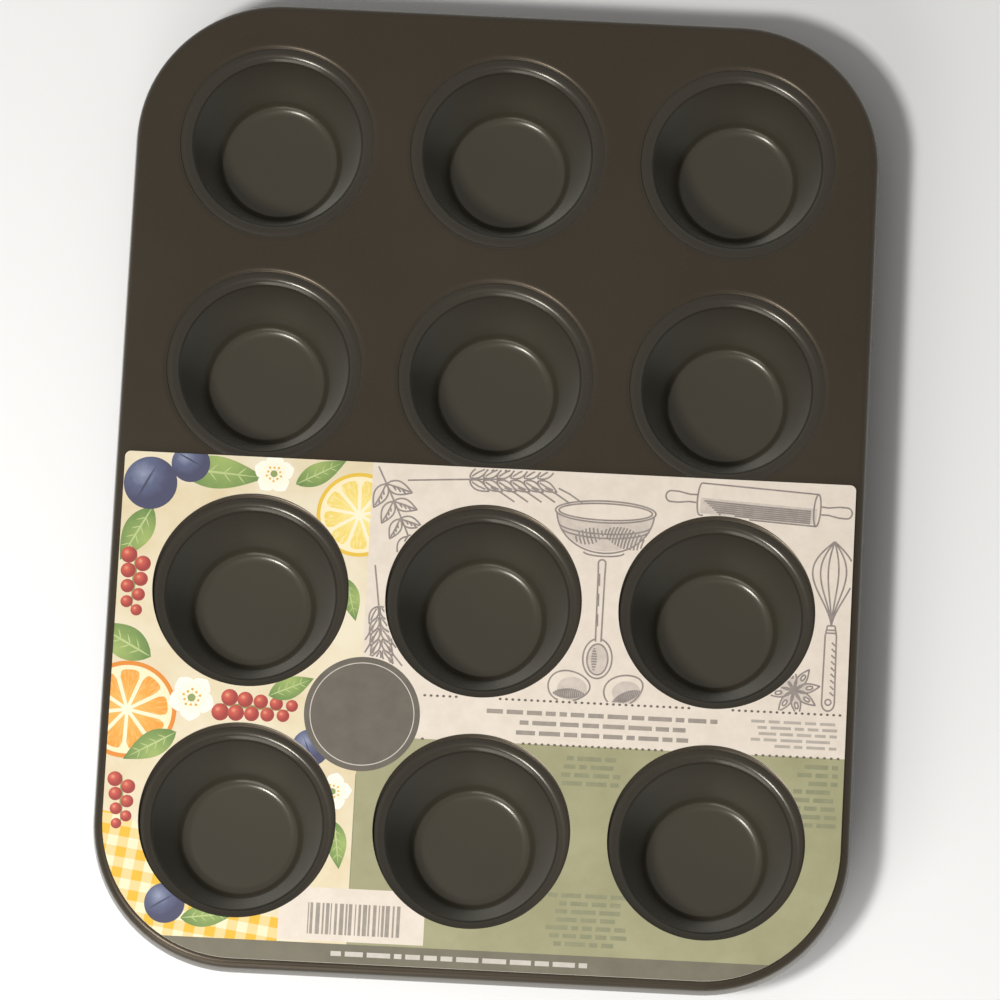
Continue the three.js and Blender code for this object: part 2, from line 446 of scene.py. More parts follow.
def coating(name, light, dark, gloss, index, roughness, painted_floor_light=None):
    """Baked non-stick coating on steel: dark satin, faintly clouded, with a fine orange-peel grain.

    Low in a cup the colour is painted lighter: painted light where the walls shade the floor.
    """
    material, tree, place, shader = surface(name)
    where = place["Object"]
    cloud = noise(tree, where, scale=28, detail=4)
    patch = maths(tree, "ADD", cloud, noise(tree, where, scale=1500, detail=2))
    colour = ramp(tree, spread(tree, patch, 0, 1, start=0.6, end=1.4), [(0.0, dark), (1.0, light)])
    # Painted light: the colour turns lighter low in the cup, where the walls shade the floor
    if painted_floor_light:
        height = shading(tree, "SeparateXYZ", {0: where})[2]
        share = spread(tree, height, 1, 0, start=PAINTED_LIGHT_FULL_BELOW, end=PAINTED_LIGHT_NONE_ABOVE)
        colour = mixed(tree, share, colour, tint(painted_floor_light))
    peel = relief(tree, noise(tree, where, scale=900), strength=0.2, distance=4e-5)
    sag = relief(tree, noise(tree, where, scale=20, detail=1), strength=0.08, distance=8e-4, Normal=peel)
    give(tree, shader, Base_Color=colour, Normal=sag, Metallic=0.0, IOR=index, Specular_Tint=tint(gloss),
         Roughness=spread(tree, cloud, roughness - 0.04, roughness + 0.04, start=0.3, end=0.7),
         Sheen_Weight=0.2, Sheen_Roughness=0.5, Sheen_Tint=tint((240, 238, 226)))
    return material


def drawn_steel():
    """Bright drawn wire, with fine lines."""
    material, tree, place, shader = surface("wire_steel")
    lines = noise(tree, place["Object"], scale=2500, detail=2)
    give(tree, shader, Base_Color=ramp(tree, lines, [(0.3, (120, 118, 112)), (0.7, (176, 174, 168))]),
         Roughness=spread(tree, lines, 0.28, 0.42), Metallic=1.0)
    return material


def tack():
    """Clear, slightly yellow removable glue."""
    material, tree, place, shader = surface("card_glue")
    cloud = noise(tree, place["Object"], scale=700)
    give(tree, shader, Base_Color=ramp(tree, cloud, [(0.3, (205, 192, 146)), (0.7, (224, 214, 176))]),
         Roughness=spread(tree, cloud, 0.25, 0.4), IOR=1.45)
    return material


def ink(tree, place, dark, light, scale=260):
    """A flat colour that varies a little between two tones."""
    cloud = noise(tree, place["Object"], scale, detail=4, roughness=0.6)
    return ramp(tree, cloud, [(0.35, dark), (0.65, light)])


def across_shape(tree, place, lean=(0.0, 0.0)):
    """Distance from a point of the shape, whose UV map runs from its middle to 1 at its edge."""
    offset = shading(tree, "VectorMath", {0: place["UV"], 1: (*lean, 0)}, operation="SUBTRACT")[0]
    return shading(tree, "VectorMath", {0: offset}, operation="LENGTH")["Value"]


def round_ink(tree, place, stops, lean=(0.0, 0.0)):
    """A colour that is shaded from one point of each shape outward."""
    reach = across_shape(tree, place, lean)
    speckle = noise(tree, place["Object"], scale=600, detail=4)
    mottle = spread(tree, speckle, -0.08, 0.08, start=0.25, end=0.75)
    return ramp(tree, maths(tree, "ADD", reach, mottle), stops)


def pulp_ink(tree, place, edge, middle, streak):
    """Citrus pulp: streaks that run outward from the fruit's middle."""
    parts = shading(tree, "SeparateXYZ", {0: place["UV"]})
    angle = maths(tree, "ARCTAN2", parts[1], parts[0])
    reach = across_shape(tree, place)
    polar = shading(tree, "CombineXYZ", {0: angle, 1: spread(tree, reach, 0, 0.35)})
    drops = noise(tree, polar[0], scale=14)
    base = ramp(tree, reach, [(0.15, middle), (0.85, edge)])
    return mixed(tree, spread(tree, drops, 0, 0.7, start=0.45, end=0.75), base, tint(streak))


def check_ink(tree, place, pale, full, pitch=0.25):
    """Two-way checked cloth: each band is half the full colour, and crossings are full."""
    parts = shading(tree, "SeparateXYZ", {0: place["UV"]})
    bands = []
    for axis in (0, 1):
        repeat = maths(tree, "WRAP", parts[axis], pitch, 0.0)
        bands.append(spread(tree, repeat, 0, 0.5, start=pitch * 0.49, end=pitch * 0.51))
    return ramp(tree, maths(tree, "ADD", *bands), [(0.0, pale), (1.0, full)])


def printed(name, make, *how):
    """A matt colour over the faint tooth of coated board."""
    material, tree, place, shader = surface(name)
    tooth = noise(tree, place["Object"], scale=2200, detail=4, roughness=0.6)
    give(tree, shader, Base_Color=make(tree, place, *how), Roughness=0.5,
         Normal=relief(tree, tooth, strength=0.12, distance=3e-5))
    return material


COATINGS = {
    "deck": coating("deck_coating", (45, 39, 31), (36, 31, 23), (255, 234, 206), index=1.38, roughness=0.28),
    # The cup's last colour is painted light, lighter low in each cup where its walls shade the floor
    "cup": coating("cup_coating", (44, 39, 30), (35, 31, 23), (255, 248, 233), index=1.39, roughness=0.21,
                   painted_floor_light=(61, 56, 45)),
}

# Board and inks: how each is made, its tones, and the scale of its cloud or its shade's lean
CARD_COLOURS = {
    "core": (ink, (224, 217, 202), (236, 230, 216)),
    "back": (ink, (176, 166, 148), (190, 180, 160), 900),
    "white": (ink, (223, 209, 192), (230, 217, 201)),
    "cream": (ink, (220, 202, 162), (234, 222, 194), 45),
    "sage": (ink, (149, 145, 107), (161, 157, 120), 60),
    "band": (ink, (103, 97, 79), (113, 106, 88), 120),
    "badge": (ink, (88, 80, 69), (98, 90, 78), 160),
    "line": (ink, (130, 120, 113), (148, 137, 129), 500),
    "wash": (ink, (196, 183, 171), (211, 198, 184), 400),
    "text": (ink, (144, 134, 123), (158, 147, 135), 500),
    "faint": (ink, (170, 160, 148), (180, 170, 158), 500),
    "moss": (ink, (130, 130, 98), (139, 139, 106), 500),
    "pale": (ink, (196, 188, 176), (206, 198, 186), 500),
    "rind": (round_ink, [(0, (236, 160, 60)), (1, (222, 134, 44))]),
    "peel": (round_ink, [(0, (240, 208, 84)), (1, (226, 186, 62))]),
    "pith": (round_ink, [(0, (250, 240, 208)), (1, (246, 230, 186))]),
    "orange": (pulp_ink, (232, 148, 44), (240, 176, 78), (250, 204, 128)),
    "lemon": (pulp_ink, (236, 204, 92), (244, 222, 132), (252, 240, 188)),
    "leaf": (round_ink, [(0, (158, 176, 98)), (1, (96, 126, 62))], (0.0, 0.35)),
    "vein": (ink, (176, 190, 122), (186, 198, 134)),
    "plum": (round_ink, [(0, (138, 144, 166)), (0.5, (84, 90, 118)), (1, (58, 58, 84))], (-0.3, 0.35)),
    "crease": (ink, (52, 52, 76), (60, 60, 84)),
    "currant": (round_ink, [(0, (226, 150, 120)), (0.35, (196, 84, 66)), (1, (150, 52, 46))], (-0.3, 0.3)),
    "petal": (round_ink, [(0, (252, 240, 206)), (1, (250, 246, 232))]),
    "anther": (ink, (216, 158, 60), (232, 178, 78)),
    "stalk": (ink, (128, 142, 82), (142, 154, 92)),
    "check": (check_ink, (240, 228, 188), (228, 180, 46)),
}
INKS = {name: printed("card_" + name, *how) for name, how in CARD_COLOURS.items()}


# Deck: flat top with stepped seats, shoulder, skirt and curled edge


def rim_section():
    """Outward reach and height above the deck's top: over the shoulder, round the curl and back inside."""
    shoulder = (0, -SHOULDER_RADIUS)
    curl_end = SKIRT_FLARE - CURL_SWEEP
    return [
        *bend(shoulder, SHOULDER_RADIUS, QUARTER, SKIRT_FLARE, SHOULDER_STEPS),
        *bend(CURL_CENTRE, CURL_RADIUS, SKIRT_FLARE, curl_end, CURL_STEPS),
        *bend(CURL_CENTRE, CURL_RADIUS - DECK_SHEET, curl_end, SKIRT_FLARE, CURL_STEPS),
        *bend(shoulder, SHOULDER_RADIUS - DECK_SHEET, SKIRT_FLARE, QUARTER, SHOULDER_STEPS),
    ]


def seat_section():
    """Radius and height: over the step's soft edge, along the ledge, down the collar and back below."""
    ledge = FLANGE_TOP - CUP_SHEET - FIT_GAP
    foot = ledge - DECK_SHEET - COLLAR_DEPTH
    edge = [(SEAT_RADIUS + STEP_REACH * (1 + x), FLANGE_TOP + FLANGE_RECESS * y)
            for x, y in bend((0, 0), 1, QUARTER, pi)]
    roll = LIP_RADIUS - CUP_SHEET - FIT_GAP
    upper = bend(LIP_CENTRE, roll, QUARTER, WALL_SIDE)
    lower = bend(LIP_CENTRE, roll - DECK_SHEET, WALL_SIDE, QUARTER)
    drop = upper[-1][1] - foot
    lean = drop * tan(WALL_LEAN)
    return [
        *edge,
        (SEAT_RADIUS, ledge),
        *upper,
        (upper[-1][0] - lean, foot),
        (lower[0][0] - lean, foot + lower[0][1] - upper[-1][1]),
        *lower,
        (SEAT_RADIUS + DECK_SHEET, ledge - DECK_SHEET),
        (SEAT_RADIUS + DECK_SHEET, TIN_HEIGHT - DECK_SHEET),
    ]


def add_deck():
    sheet = Sheet()
    rim = [sheet.ring(deck_outline(-DECK_HOLDING), TIN_HEIGHT)]
    rim += [sheet.ring(deck_outline(x), TIN_HEIGHT + y) for x, y in rim_section()]
    rim.append(sheet.ring(deck_outline(-DECK_HOLDING), TIN_HEIGHT - DECK_SHEET))
    sheet.bands(rim)
    section = seat_section()
    section.insert(0, (section[0][0] + DECK_HOLDING, TIN_HEIGHT))
    section.append((section[-1][0] + DECK_HOLDING, section[-1][1]))
    seats = [[sheet.ring(circle(MIDDLES[name], x), y) for x, y in section] for name in CUP_NAMES]
    for seat in seats:
        sheet.bands(seat)
    sheet.plate(rim[0], [seat[0] for seat in seats])
    sheet.plate(rim[-1], [seat[-1] for seat in seats])
    mesh = finished(sheet.bm, "pressed_deck", COATINGS["deck"])
    new_piece(mesh, "tin", "deck_coating", "deck_sheet")


# Cups


def cup_section():
    """Underside from the middle out to the flange's edge, then back along the inside."""
    lip_end = QUARTER - LIP_OVERTURN
    edge, floor = CUP_REACH - FLANGE_EDGE, FILLET_CENTRE[0]
    under = bend(LIP_CENTRE, LIP_RADIUS - CUP_SHEET, WALL_SIDE, lip_end)
    over = bend(LIP_CENTRE, LIP_RADIUS, lip_end, WALL_SIDE)
    under_edge = under[-1][1] - (CUP_REACH - under[-1][0]) * tan(LIP_OVERTURN)
    over_edge = over[0][1] - (CUP_REACH - over[0][0]) * tan(LIP_OVERTURN)
    points = [
        (0, 0), (floor - FLOOR_HOLDING, 0),
        *bend(FILLET_CENTRE, FLOOR_FILLET + CUP_SHEET, -QUARTER, -WALL_LEAN),
        *under,
        *bend((edge, under_edge + FLANGE_EDGE), FLANGE_EDGE, -QUARTER, 0, BEND_STEPS // 2),
        *bend((edge, over_edge - FLANGE_EDGE), FLANGE_EDGE, 0, QUARTER, BEND_STEPS // 2),
        *over,
        *bend(FILLET_CENTRE, FLOOR_FILLET, -WALL_LEAN, -QUARTER),
        (floor - FLOOR_HOLDING, CUP_SHEET), (0, CUP_SHEET),
    ]
    return [(x - CUP_REACH, y, 0) for x, y in points]


def add_cups():
    for name in CUP_NAMES:
        mesh = grown(TURNED, "drawn_" + name, [cup_section()], Reach=CUP_REACH, Steps=ROUND_STEPS,
                     Place=(*MIDDLES[name], 0), Material=COATINGS["cup"])
        new_piece(mesh, "tin", "cup_coating", name)


# Wire in the curl


def add_wire():
    height = TIN_HEIGHT + CURL_CENTRE[1]
    path = [(x, y, height) for x, y in deck_outline(CURL_CENTRE[0])]
    mesh = grown(wire_tree(), "curl_wire", [path], closed=True, Radius=WIRE_RADIUS, Sides=WIRE_STEPS,
                 Material=drawn_steel())
    new_piece(mesh, "tin", "wire_steel", "rim_wire")


# Glue dots under the card


def add_tacks():
    glue = tack()
    for name in TACK_NAMES:
        low, high = node_box(name)
        radius, drop = (high.y - low.y) / 2, (high.z - low.z) / 2
        edge = bend((radius - drop, drop), drop, -QUARTER, QUARTER)
        line = [(x - radius, y, 0) for x, y in [(0, 0), *edge, (0, 2 * drop)]]
        mesh = grown(TURNED, "soft_" + name, [line], Reach=radius, Steps=TACK_STEPS,
                     Place=(*MIDDLES[name], low.z), Material=glue)
        new_piece(mesh, "card", "card_glue", name)


# Shapes of the card's print


class Print:
    """Flat shapes in the order in which they are printed: a later one covers an earlier one."""

    def __init__(self):
        self.shapes = []

    def area(self, colour, outline, centre=(0, 0), size=1.0, turn=0.0):
        """Adds a shape. Its UV map has its origin at the centre and is 1 at the size."""
        self.shapes.append((colour, outline, centre, size, turn))

    def box(self, colour, low, high):
        self.area(colour, [low, (high[0], low[1]), high, (low[0], high[1])], low, high[0] - low[0])


def placed(points, centre, turn=0.0, size=1.0):
    """Moves points from a shape's own frame to the card."""
    right, up = cos(turn) * size, sin(turn) * size
    return [(centre[0] + x * right - y * up, centre[1] + x * up + y * right) for x, y in points]


def lens(length, width, steps=14, belly=0.8):
    """A pointed oval along x from the origin, counter-clockwise."""
    rise = [(i / steps, sin(pi * (i / steps) ** belly)) for i in range(steps + 1)]
    low = [(length * t, -width / 2 * h) for t, h in rise]
    high = [(length * t, width / 2 * h) for t, h in rise]
    return low[:-1] + high[:0:-1]


def leaf(sheet, base, length, width, degrees):
    """A leaf with a pale midrib and side veins."""
    turn = radians(degrees)
    middle = around(base, length / 2, turn)
    sheet.area("leaf", placed(lens(length, width), base, turn), middle, length / 2, turn)
    sheet.area("vein", placed(lens(length * 0.94, width * 0.07), base, turn))
    for share in (0.2, 0.36, 0.52, 0.68):
        root = around(base, length * share, turn)
        for side in (1, -1):
            vein = lens(width * 0.36, width * 0.04, steps=4)
            sheet.area("vein", placed(vein, root, turn + side * 0.8))


def citrus(sheet, middle, radius, turn, rind, pulp):
    """A round slice: rind, pith and wedges of pulp with rounded corners."""
    sheet.area(rind, circle(middle, radius, 64), middle, radius)
    sheet.area("pith", circle(middle, radius * 0.91, 64), middle, radius)
    wedges = 9
    sweep = TURN / wedges
    for i in range(wedges):
        start = turn + i * TURN / wedges
        wedge = [around(middle, radius * 0.1, start + sweep / 2)]
        for share in [k / 12 for k in range(13)]:
            reach = radius * (0.82 - 0.14 * abs(2 * share - 1) ** 7)
            wedge.append(around(middle, reach, start + sweep * (0.09 + 0.82 * share)))
        sheet.area(pulp, wedge, middle, radius)


def plum(sheet, middle, radius, degrees):
    """A round plum with the crease down its side."""
    turn = radians(degrees)
    sheet.area("plum", circle(middle, radius, 48), middle, radius)
    start = placed([(-radius * 0.85, 0.25 * radius)], middle, turn)[0]
    sheet.area("crease", placed(lens(radius * 1.6, radius * 0.09, steps=8), start, turn - 0.12))


def currants(sheet, start, length, degrees, count, radius):
    """A strig of currants, in two rows along its stalk."""
    turn = radians(degrees)
    sheet.area("stalk", placed(lens(length, radius * 0.5), start, turn))
    for i in range(count):
        share = (i + 0.7) / count
        side = 1 if i % 2 else -1
        middle = placed([(length * share, side * radius * (0.95 - 0.35 * share))], start, turn)[0]
        size = radius * (1.05 - 0.35 * share)
        sheet.area("currant", circle(middle, size, 20), middle, size)


def blossom(sheet, middle, radius, turn):
    """Five notched petals round a gold middle."""
    for i in range(5):
        angle = turn + i * TURN / 5
        petal = placed(lens(radius, radius * 0.86, steps=12, belly=1.5), middle, angle)
        sheet.area("petal", petal, middle, radius)
    sheet.area("stalk", circle(middle, radius * 0.17, 14))
    for i in range(10):
        angle = turn + i * TURN / 10
        spot = around(middle, radius * (0.3 + 0.06 * (i % 2)), angle)
        sheet.area("anther", circle(spot, radius * 0.06, 8))


# Card: panels, picture, plain bars and dashes


PICTURE_RIGHT = -31.5
RULE_1 = -56.8
RULE_2 = -68.6
BAND_TOP = -124.9
BADGE = (-30.8, -62.7)
BADGE_RADIUS = 15.5
BADGE_RINGS = (("badge", 0), ("pale", 1.5), ("badge", 1.75))
STRIPE = ((PICTURE_RIGHT - 0.15, -110.0), (PICTURE_RIGHT + 0.15, -79.0))
BAR_PATCH = ((-50.0, -124.3), (-11.2, -110.0))

# Upright bars, whose widths and spaces run through a few sizes in turn
BAR_LEFT = -42.2
BAR_ENDS = (-122.5, -114.1)
BAR_COUNT = 20
BAR_LEAST = 0.32
BAR_STEP = 0.2
SPACE_STEP = 0.14

# Dashes: colour, left, right, top, bottom, rows, height, and share of spare width on the left
DASH_ROWS = [
    ("text", 2, 65, -58.8, -67.0, 3, 1.2, 0.5),
    ("faint", 72.5, 96, -58.6, -66.8, 5, 0.8, 1),
    ("moss", 22.4, 39.6, -70.8, -79.8, 4, 1.2, 0.5),
    ("moss", 20, 45, -107.8, -123, 7, 1.2, 0.5),
    ("moss", 85, 96.7, -70, -88, 8, 1.2, 1),
    ("pale", -42, 39, -126.4, -128.6, 1, 1.3, 0.5),
]
DASH_ROW_SHARES = (0.62, 1.0)
DASH_LENGTHS = (1.8, 6.5)
DASH_LEAST = 1.5
DASH_SPACE = 1.0

# Kitchen things with a wash and pen work: place and size, and the pin's turn
BOWL = ((31.5, -4.5), 27.0)
PIN = ((48.0, 0.8), 49.0, -3)
SPOON_BOWL = (31.2, -44.6)
SPOON_HANDLE_END = (SPOON_BOWL[0], SPOON_BOWL[1] + 27.2)
EGGS = (((24.0, -52.4), 5.6), ((38.6, -52.8), 5.4))
STAR = ((84.0, -50.6), 7.0)

# Pitch of a stroke's points, and how near the pen comes to edges, the first rule and holes
PEN_PITCH = 0.25
PEN_MARGIN = 0.4
PEN_RULE_MARGIN = 0.5
PEN_HOLE_MARGIN = 0.3
# Strokes that cross lie on levels of their own, since no two faces may share one
PEN_LEVELS = 47
PEN_LEVEL_DROP = 0.0006

# Dots of the two rules
RULE_START = -16
RULE_PITCH = 1.68
RULE_DOTS = 70
RULE_EDGE_MARGIN = 0.8
RULE_HOLE_MARGIN = 0.6

# The picture's plants, from the lowest layer up: what draws each, and its place, sizes and turn
PLANTS = [
    (leaf, (-84, 2), 24, 9, -4),
    (leaf, (-90, -9), 17, 8, -118),
    (plum, (-91, -2.5), 7.2, 70),
    (plum, (-80.5, 3.4), 5.2, -20),
    (blossom, (-58, 1.6), 5.6, 0.3),
    (leaf, (-52, -1), 15, 6, 28),
    (citrus, (-34.5, -8.5), 11.5, 0.2, "peel", "lemon"),
    (currants, (-93.5, -21), 17, -92, 8, 2.2),
    (leaf, (-37, -26), 12, 5, -75),
    (leaf, (-88, -50), 18, 9, 152),
    (citrus, (-93.5, -64.5), 13.2, 0.5, "rind", "orange"),
    (leaf, (-80, -70), 16, 7, -150),
    (blossom, (-76.5, -60.5), 6.4, 0.9),
    (currants, (-70, -61.8), 21, -3, 10, 2.3),
    (leaf, (-56, -59), 13, 6, 24),
    (currants, (-93.8, -82), 14, -88, 7, 2.0),
    (blossom, (-37.5, -84), 5.2, 0.1),
    (leaf, (-36.5, -92), 13, 5.5, -82),
    (plum, (-80.4, -116.2), 5.4, 40),
    (leaf, (-76, -120), 15, 6, 8),
    (plum, (-44, -72.5), 5.0, 120),
]


def draw_picture(sheet):
    """Fruit, leaves and a checked cloth on a cream ground."""
    left, top = CARD_LOW.x, CARD_HIGH.y
    sheet.box("cream", (left, BAND_TOP), (PICTURE_RIGHT, top))
    cloth = [(left, -126), (-50, -126), (-50, -118.6), (-62, -116.8), (-74, -110.4), (-84, -99.6),
             (-91, -93.4), (left, -92.0)]
    sheet.area("check", cloth, centre=(left, -112), size=22.0, turn=radians(-8))
    for draw, *how in PLANTS:
        draw(sheet, *how)


def draw_washes(sheet):
    """The pale tone of the kitchen things that are drawn in line."""
    for (x, y), size in EGGS:
        sheet.area("wash", oval((x + size * 0.15, y - size * 0.12), size * 0.72, size * 0.58))
    middle, width = BOWL
    body = arc(middle, width * 0.48, width * 0.4, 180, 360, 30)
    rim = arc(middle, width * 0.48, width * 0.1, 0, -180, 30)
    sheet.area("wash", body + rim)
    start, length, turn = PIN
    body = [(length * 0.18, -3.9), (length * 0.82, -3.9), (length * 0.82, 0.4), (length * 0.18, 0.4)]
    sheet.area("wash", placed(body, start, radians(turn)))
    middle, size = STAR
    sheet.area("wash", oval(middle, size * 0.55, size * 0.55))
    sheet.area("wash", oval(SPOON_BOWL, 2.6, 4.0))


def draw_bars(sheet):
    """Plain upright bars of a few widths."""
    at = BAR_LEFT
    for i in range(BAR_COUNT):
        width = BAR_LEAST + BAR_STEP * (i * 7 % 5)
        sheet.box("text", (at, BAR_ENDS[0]), (at + width, BAR_ENDS[1]))
        at += width + BAR_LEAST + SPACE_STEP * (i * 3 % 4)


def draw_panels(sheet):
    """White, sage and foot panels, the bars on their patch, and the bare badge."""
    right, top = CARD_HIGH.x, CARD_HIGH.y
    sheet.box("white", (PICTURE_RIGHT, RULE_2), (right, top))
    draw_washes(sheet)
    sheet.box("sage", (PICTURE_RIGHT, BAND_TOP), (right, RULE_2))
    sheet.box("moss", *STRIPE)
    sheet.box("white", *BAR_PATCH)
    sheet.box("band", CARD_LOW.xy, (right, BAND_TOP))
    draw_bars(sheet)
    for colour, inset in BADGE_RINGS:
        sheet.area(colour, circle(BADGE, BADGE_RADIUS - inset))


def draw_dashes(sheet, colour, left, right, top, bottom, rows, height, spare_left):
    """Rows of plain dashes of uneven length."""
    draw = random.Random(rows * 100 + int(left))
    pitch = (top - bottom) / rows
    for row in range(rows):
        y = top - (row + 0.5) * pitch
        length = (right - left) * draw.uniform(*DASH_ROW_SHARES)
        x = left + (right - left - length) * spare_left
        end = x + length
        while x < end - DASH_LEAST:
            dash = min(draw.uniform(*DASH_LENGTHS), end - x)
            sheet.box(colour, (x, y - height / 2), (x + dash, y + height / 2))
            x += dash + DASH_SPACE


def card_mesh(sheet):
    """One board whose face is divided among its colours, with the core at its edges."""
    edge = rounded(CARD_LOW, CARD_HIGH, [CARD_TOP_CORNER] * 2 + [CARD_BOTTOM_CORNER] * 2)
    holes = [circle(hole, CARD_HOLE_RADIUS, CARD_HOLE_STEPS) for hole in CARD_HOLES]
    loops = [edge, *holes, *[shape[1] for shape in sheet.shapes]]
    first = 1 + len(holes)
    places, triangles, inside = cut_plane(loops)
    names = list(INKS)
    bare = ("white", None, (0, 0), 1.0, 0.0)
    bm = bmesh.new()
    map_uv = bm.loops.layers.uv.new("print")
    corners = [bm.verts.new((place.x, place.y, CARD_LOW.z)) for place in places]
    for triangle, round_it in zip(triangles, inside):
        if 0 not in round_it or any(0 < number < first for number in round_it):
            continue
        last = max(round_it)
        colour, _, centre, size, turn = sheet.shapes[last - first] if last >= first else bare
        face = bm.faces.new([corners[i] for i in triangle])
        face.material_index = names.index(colour)
        for loop in face.loops:
            offset = (loop.vert.co.x - centre[0], loop.vert.co.y - centre[1])
            loop[map_uv].uv = placed([offset], (0, 0), -turn, 1 / size)[0]
    drop_loose(bm, corners)
    made = bmesh.ops.extrude_face_region(bm, geom=list(bm.faces), use_keep_orig=True)
    for item in made["geom"]:
        if isinstance(item, bmesh.types.BMVert):
            item.co.z = CARD_FACE
    half_way = (CARD_LOW.z + CARD_FACE) / 2
    for face in bm.faces:
        raised_corners = [vert.co.z > half_way for vert in face.verts]
        if not any(raised_corners):
            face.material_index = names.index("back")
        elif not all(raised_corners):
            face.material_index = names.index("core")
    mesh = finished(bm, "printed_card", smooth=False)
    for name in names:
        mesh.materials.append(INKS[name])
    return mesh


# Line drawings of kitchen things on the white panel


def arc(middle, across, along, start, end, steps=24):
    """Part of an ellipse, with angles in degrees."""
    angles = [radians(start + (end - start) * i / steps) for i in range(steps + 1)]
    return [(middle[0] + across * cos(a), middle[1] + along * sin(a)) for a in angles]


def oval(middle, across, along):
    """An ellipse as an outline."""
    return arc(middle, across, along, 0, 360)[:-1]


def shade(centre, length, height, count, turn=0.0, curve=0.15):
    """Short strokes side by side, as an engraver shades a round form."""
    strokes = []
    for i in range(count):
        share = (i + 0.5) / count
        reach = length * sin(pi * share) ** 0.6
        x = (share - 0.5) * height
        stroke = [(x + curve * reach * (t * t - 0.25), reach * t) for t in (-0.5, -0.25, 0, 0.25, 0.5)]
        strokes.append(placed(stroke, centre, turn))
    return strokes


def wheat(length, grains):
    """An ear of wheat along x: stalk, paired grains with a crease, and awns."""
    strokes = [[(length * t, 0.6 * sin(2 * t)) for t in (0, 0.2, 0.4, 0.6)]]
    grain = lens(5.2, 2.2, steps=8)
    for i in range(grains):
        for side in (1, -1):
            root = (length * (0.38 + 0.5 * i / grains), 0.4 * side + 0.5)
            crease = [(0.6, 0), (2.4, 0.15 * side), (4.2, 0)]
            awn = [(5.2, 0), (8.0, 0.5 * side), (11.5, 1.6 * side)]
            for line, turn in ((grain + grain[:1], 0.5), (crease, 0.5), (awn, 0.3)):
                strokes.append(placed(line, root, side * turn))
    return strokes


def whisk(length):
    """A balloon whisk along x, its handle at the origin."""
    handle, neck = length * 0.44, length * 0.5
    strokes = [
        [(neck, 1.0), (handle, 1.5), (2, 1.7), *arc((2, 0), 2.2, 1.7, 90, 270, 10), (handle, -1.5),
         (neck, -1.0)],
        arc((2.2, 0), 0.8, 0.8, 0, 360, 12),
    ]
    for back, half in ((0, 1.0), (1.2, 1.15), (2.0, 1.25)):
        strokes.append([(neck - back, half), (neck - back, -half)])
    for share in (1.0, 0.62, 0.25):
        steps = [i / 20 for i in range(21)]
        loop = [(neck + (length - neck) * t, 5.6 * share * sin(pi * t ** 1.5)) for t in steps]
        strokes += [loop, [(x, -y) for x, y in loop]]
    marks = [4 + i * (handle - 5) / 9 for i in range(9)]
    return strokes + [[(x, -1.35), (x + 0.9, -0.35)] for x in marks]


def spoon(length):
    """A wooden spoon along x, its bowl at the far end."""
    bowl = length * 0.8
    strokes = [
        [(bowl - 4.6, 0.75), (4, 0.9), *arc((1.2, 0), 1.0, 1.0, 90, 270, 8), (4, -0.9),
         (bowl - 4.6, -0.75)],
        arc((bowl, 0), 5.4, 3.9, 170, -170, 30),
        arc((bowl + 0.2, 0), 4.2, 2.8, 0, 360, 26),
    ]
    strokes += shade((bowl + 0.2, -0.9), 1.5, 6.4, 9, curve=0.3)
    strokes += [[(x, -0.55), (x + 3.4, -0.45)] for x in (4, 9.5, 15, 20.5) if x < bowl - 10]
    return strokes


def rolling_pin(length):
    """A rolling pin along x, with its two handles."""
    body, radius = length * 0.64, 4.4
    start, end = (length - body) / 2, (length + body) / 2
    strokes = [
        [(start, radius), *arc((start, 0), 0.9, radius, 90, 270, 10), (end, -radius),
         *arc((end, 0), 0.9, radius, -90, 90, 10), (start, radius)],
        arc((end, 0), 0.9, radius, 90, 270, 10),
    ]
    for origin, way in ((start, -1), (end, 1)):
        side = [(origin + way * reach, half) for reach, half in ((0.9, 1.1), (3.0, 1.0), (6.0, 1.5))]
        other = [(x, -y) for x, y in reversed(side)]
        strokes.append([*side, *arc((origin + way * 8.0, 0), way * 1.4, 1.5, 90, -90, 10), *other])
    for i in range(7):
        y = -radius * (0.1 + 0.125 * i)
        strokes.append([(start + 1 + i * 0.7, y), ((start + end) / 2, y - 0.08), (end - 1.6, y)])
    return strokes


def egg(size):
    """An egg along x, shaded on its lower side."""
    angles = [radians(10 * i) for i in range(37)]
    outline = [(size * cos(a), size * 0.74 * sin(a) * (1 - 0.16 * cos(a))) for a in angles]
    return [outline] + shade((0, -size * 0.36), size * 0.5, size * 1.5, 16, curve=0.5)


def mixing_bowl(width):
    """A bowl seen a little from above, with two bands and shading."""
    half, deep = width / 2, width * 0.42
    strokes = [
        arc((0, 0), half, half * 0.22, 0, 360, 40),
        arc((0, 0), half * 0.93, half * 0.17, 0, 360, 36),
        arc((0, 0), half * 0.97, deep, 184, 356, 30),
        arc((0, -deep * 0.98), half * 0.4, half * 0.08, 180, 360, 14),
    ]
    for drop in (0.3, 0.4):
        reach = half * 0.97 * sqrt(1 - drop ** 2)
        strokes.append(arc((0, -deep * drop), reach, half * 0.2, 188, 352, 26))
    strokes += shade((half * 0.42, -deep * 0.62), deep * 0.5, half * 0.9, 14, turn=-0.3)
    strokes += shade((-half * 0.3, -deep * 0.6), deep * 0.4, half * 0.6, 8, turn=0.25)
    return strokes


